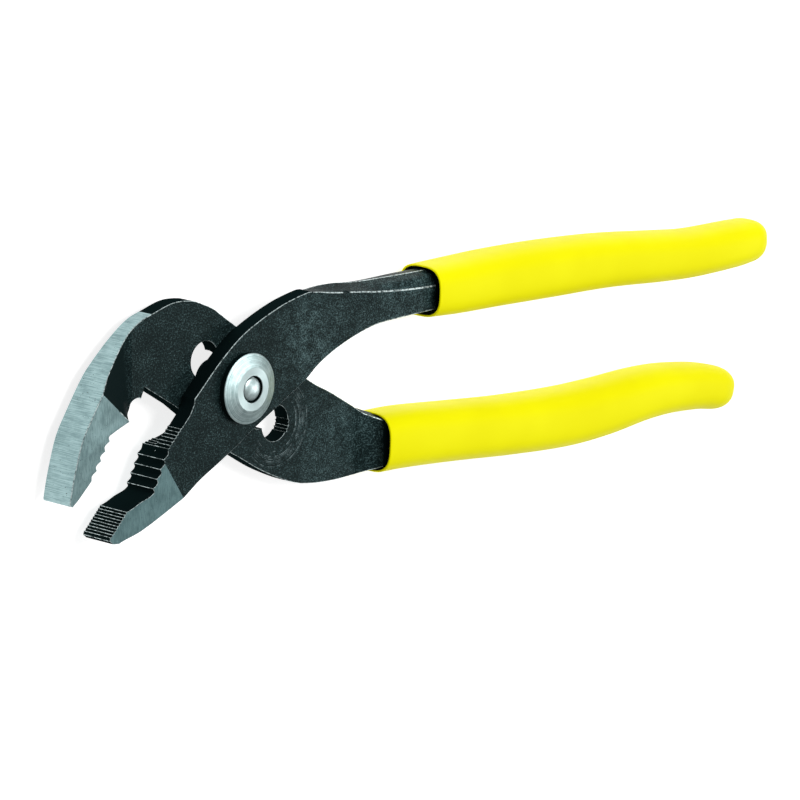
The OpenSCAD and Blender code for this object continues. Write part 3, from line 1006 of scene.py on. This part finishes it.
# Grips. A station is a share of the handles' reach, its middle as a share of the head's width, its half
# width as a share of the grip's thickness, and its half thickness as a share of half of that
grips = dict(
    thick=14.3 * mm,
    wall=1.3 * mm,
    lip=0.5 * mm,
    mouthDeep=3.6 * mm,
    mouthPower=3.0,  # of the section's curve: 2 is an ellipse, more is squarer
    endPower=2.6,
    sides=56,
    steps=6,
    smoothTurn=50.0,
    capTurn=86.0,
    frontCap=1.35,  # length of the rounded end, in half widths of the grip there
    rearCap=1.6,
    capSteps=12,
    front=[(0.33, 0.2875, 0.438, 0.95), (0.386, 0.276, 0.466, 1), (0.462, 0.265, 0.486, 1),
           (0.563, 0.240, 0.493, 1), (0.675, 0.203, 0.472, 0.99), (0.787, 0.143, 0.451, 0.96),
           (0.853, 0.113, 0.432, 0.93), (0.935, 0.103, 0.419, 0.9), (0.966, 0.104, 0.402, 0.87)],
    rear=[(0.2415, -0.567, 0.508, 0.94), (0.294, -0.582, 0.512, 0.99), (0.386, -0.632, 0.503, 1),
          (0.487, -0.69, 0.508, 1), (0.594, -0.735, 0.520, 1), (0.675, -0.742, 0.506, 0.99),
          (0.746, -0.731, 0.472, 0.97), (0.802, -0.739, 0.447, 0.95), (0.863, -0.775, 0.422, 0.92),
          (0.8960, -0.8095, 0.407, 0.9)],
)


def gripRing(middle, ahead, half, deep, power):
    ring = []
    for k in range(grips["sides"]):
        q = 2 * math.pi * k / grips["sides"]
        c = math.copysign(abs(math.cos(q)) ** (2 / power), math.cos(q))
        s = math.copysign(abs(math.sin(q)) ** (2 / power), math.sin(q))
        ring.append((middle.x - ahead.y * half * c, middle.y + ahead.x * half * c, tool["midZ"] + deep * s))
    return ring


def makeGrip(name, shares, cap):
    rows = smooth([
        Vector((x * tool["handleReach"], y * tool["headWidth"], w * grips["thick"], d * grips["thick"] / 2))
        for x, y, w, d in shares
    ], grips["steps"])
    last = len(rows) - 1
    ahead = [(rows[min(i + 1, last)] - rows[max(i - 1, 0)]).xy.normalized() for i in range(last + 1)]
    most = grips["thick"] / 2
    mouth = grips["mouthPower"]
    lip = grips["lip"]

    def mouthRing(along, inset):
        first = rows[0]
        return gripRing(first.xy + ahead[0] * along, ahead[0], first[2] - inset, first[3] - inset, mouth)

    rings = [mouthRing(grips["mouthDeep"], grips["wall"])]
    for q in range(0, 181, 20):  # the lip is rolled in a half circle
        turn = math.radians(q)
        rings.append(mouthRing(lip / 2 * (1 - math.sin(turn)), lip / 2 * (1 + math.cos(turn))))
    for i in range(1, last + 1):
        power = mouth + (grips["endPower"] - mouth) * i / last
        rings.append(gripRing(rows[i].xy, ahead[i], rows[i][2], min(rows[i][3], most), power))
    end = rows[last]
    for k in range(1, grips["capSteps"] + 1):
        turn = math.radians(grips["capTurn"] * k / grips["capSteps"])
        middle = end.xy + ahead[last] * end[2] * cap * math.sin(turn)
        half, deep = end[2] * math.cos(turn), end[3] * math.cos(turn)
        rings.append(gripRing(middle, ahead[last], half, deep, grips["endPower"]))
    return skin(name, rings)


dippedVinyl = makeVinyl()
for body in ("front", "rear"):
    grip = makeGrip(body + "Grip", grips[body], grips[body + "Cap"])
    grip.data.materials.append(dippedVinyl)
    grip.data.materials.append(wallBlack)
    # Faces 0 and 1 are the caps, in the mouth and at the closed end, and the next ones line the mouth. The
    # mouth's cap and lining get painted shade
    for face in list(grip.data.polygons)[: grips["sides"] + 2]:
        if face.index != 1:
            face.material_index = 1
    sharpen(grip, grips["smoothTurn"])
    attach(grip, body)
    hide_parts(body + "_grip")
print("grips made")

# Pivot: bolt, nut and spring washer, turned about the hinge's axis
pivot = dict(
    nutRadius=8.3 * mm,
    boltHeadRadius=5.1 * mm,
    boltHeadThick=2 * mm,
    journalRadius=4.3 * mm,
    journalFlat=2.92 * mm,  # from the axis to each flat, which lets the bolt pass between the seats
    threadRadius=2.75 * mm,
    boltFit=0.05 * mm,
    nutFoot=8.2 * mm,
    nutUnder=1.33 * mm,
    nutRim=1.55 * mm,
    nutCone=1.15 * mm,
    nutEdge=0.1 * mm,
    nutGrooves=8,
    groove=((0.0, 0.0), (0.55, 0.0), (0.8, 0.02 * mm)),  # share of its width, and depth there
    landRadius=5.1 * mm,
    sinkRadius=3.15 * mm,
    sinkDeep=0.9 * mm,
    sinkEdge=0.2 * mm,
    boltEdge=0.5 * mm,
    boltChamfer=0.15 * mm,
    domeRadius=2.7 * mm,
    domeFoot=0.55,  # shares of the sink's depth
    domeRise=0.65,
    washerThick=0.78 * mm,
    washerRadius=5.05 * mm,
    washerBore=4.5 * mm,
    washerEdge=0.14 * mm,
    sides=128,
    smoothTurn=25.0,
)
pivot["nutTop"] = tool["topZ"] + pivot["nutRim"] + pivot["nutCone"]


# A profile of (radius, height) turned about the axis. It is closed unless it starts on the axis
def lathe(name, profile):
    bm = bmesh.new()
    rows = []
    for r, z in profile:
        if r < hair:
            rows.append([bm.verts.new((0, 0, z))] * pivot["sides"])
            continue
        ring = []
        for k in range(pivot["sides"]):
            q = 2 * math.pi * k / pivot["sides"]
            ring.append(bm.verts.new((r * math.cos(q), r * math.sin(q), z)))
        rows.append(ring)
    pairs = list(zip(rows, rows[1:]))
    if profile[0][0] > hair:
        pairs.append((rows[-1], rows[0]))
    for a, b in pairs:
        for k in range(pivot["sides"]):
            j = (k + 1) % pivot["sides"]
            corners = []
            for v in (a[k], a[j], b[j], b[k]):
                if v not in corners:
                    corners.append(v)
            if len(corners) > 2:
                bm.faces.new(corners)
    bmesh.ops.recalc_face_normals(bm, faces=bm.faces)
    return newObject(name, bm)


def makeNut():
    p = pivot
    low = tool["topZ"]
    high = p["nutTop"]
    bore = p["threadRadius"] + p["boltFit"]
    radius, e = p["nutRadius"], p["nutEdge"]
    under, rim = low + p["nutUnder"], low + p["nutRim"]
    profile = [(bore, low), (p["nutFoot"], low), (p["nutFoot"], under - e), (radius - e, under),
               (radius, under + e), (radius, rim - e)]
    for k in range(p["nutGrooves"]):
        for part, deep in p["groove"]:
            share = (k + part) / p["nutGrooves"]
            r = radius - e + (p["landRadius"] - radius + e) * share
            profile.append((r, rim + p["nutCone"] * share - deep))
    profile += [(p["landRadius"], high), (p["sinkRadius"] + e, high), (p["sinkRadius"], high - e),
                (p["sinkRadius"], high - p["sinkDeep"]), (bore, high - p["sinkDeep"])]
    return lathe("pivotNut", profile)


def makeBolt():
    p = pivot
    r, thick, journal = p["boltHeadRadius"], p["boltHeadThick"], p["journalRadius"]
    e, chamfer = p["boltEdge"], p["boltChamfer"]
    shoulder = tool["midZ"] + tool["lapGap"] / 2
    sink = p["nutTop"] - p["sinkDeep"]
    profile = [(0, 0), (r - e, 0), (r - chamfer, chamfer), (r, e), (r, thick - e / 2), (r - e / 2, thick),
               (journal, thick), (journal, shoulder), (p["threadRadius"], shoulder),
               (p["threadRadius"], sink), (p["domeRadius"], sink)]
    foot = p["nutTop"] - p["sinkDeep"] * p["domeFoot"]
    for q in range(0, 90, 10):
        turn = math.radians(q)
        rise = p["sinkDeep"] * p["domeRise"] * math.sin(turn)
        profile.append((p["domeRadius"] * math.cos(turn), foot + rise))
    profile.append((0, foot + p["sinkDeep"] * p["domeRise"]))
    bolt = lathe("pivotBolt", profile)
    turn = math.radians(slot["angle"])
    across = Vector((-math.sin(turn), math.cos(turn), 0))
    for vertex in bolt.data.vertices:
        if abs(vertex.co.xy.length - journal) < close and vertex.co.z < shoulder + close:
            far = vertex.co.dot(across)
            vertex.co += across * (max(-p["journalFlat"], min(p["journalFlat"], far)) - far)
    return bolt


def makeWasher():
    p = pivot
    low, high = p["boltHeadThick"], p["boltHeadThick"] + p["washerThick"]
    bore, radius, e = p["washerBore"], p["washerRadius"], p["washerEdge"]
    profile = [(bore, low + e), (bore + e, low), (radius - e, low), (radius, low + e),
               (radius, high - e), (radius - e, high), (bore + e, high), (bore, high - e)]
    return lathe("springWasher", profile)


# Painted shade on the sink round the bolt's end and on the nut's undercut. The bolt under the nut gets the
# same dark, for its black finish and its shade alike
def isDark(node, c):
    out = c.xy.length
    sunk = pivot["threadRadius"] < out < pivot["sinkRadius"] + close
    sunk = sunk and c.z < pivot["nutTop"] - pivot["sinkEdge"]
    under = node == "pivot_nut" and out > pivot["sinkRadius"] and c.z < tool["topZ"] + pivot["nutUnder"]
    return sunk or under or (node == "pivot_bolt" and c.z < tool["topZ"])


for piece, body, node, finish, slotName in [
    (makeNut(), "front", "pivot_nut", makeTurnedSteel(), "bright_steel"),
    (makeBolt(), "front", "pivot_bolt", makeRubbedSteel("domeSteel"), "bright_steel"),
    (makeWasher(), "carrier", "spring_washer", makeRubbedSteel("springSteel"), "spring_steel"),
]:
    piece.data.materials.append(finish)
    piece.data.materials.append(wallBlack)
    for face in piece.data.polygons:
        if isDark(node, face.center):
            face.material_index = 1
    sharpen(piece, pivot["smoothTurn"])
    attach(piece, body)
    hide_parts(node)
print("pivot made")
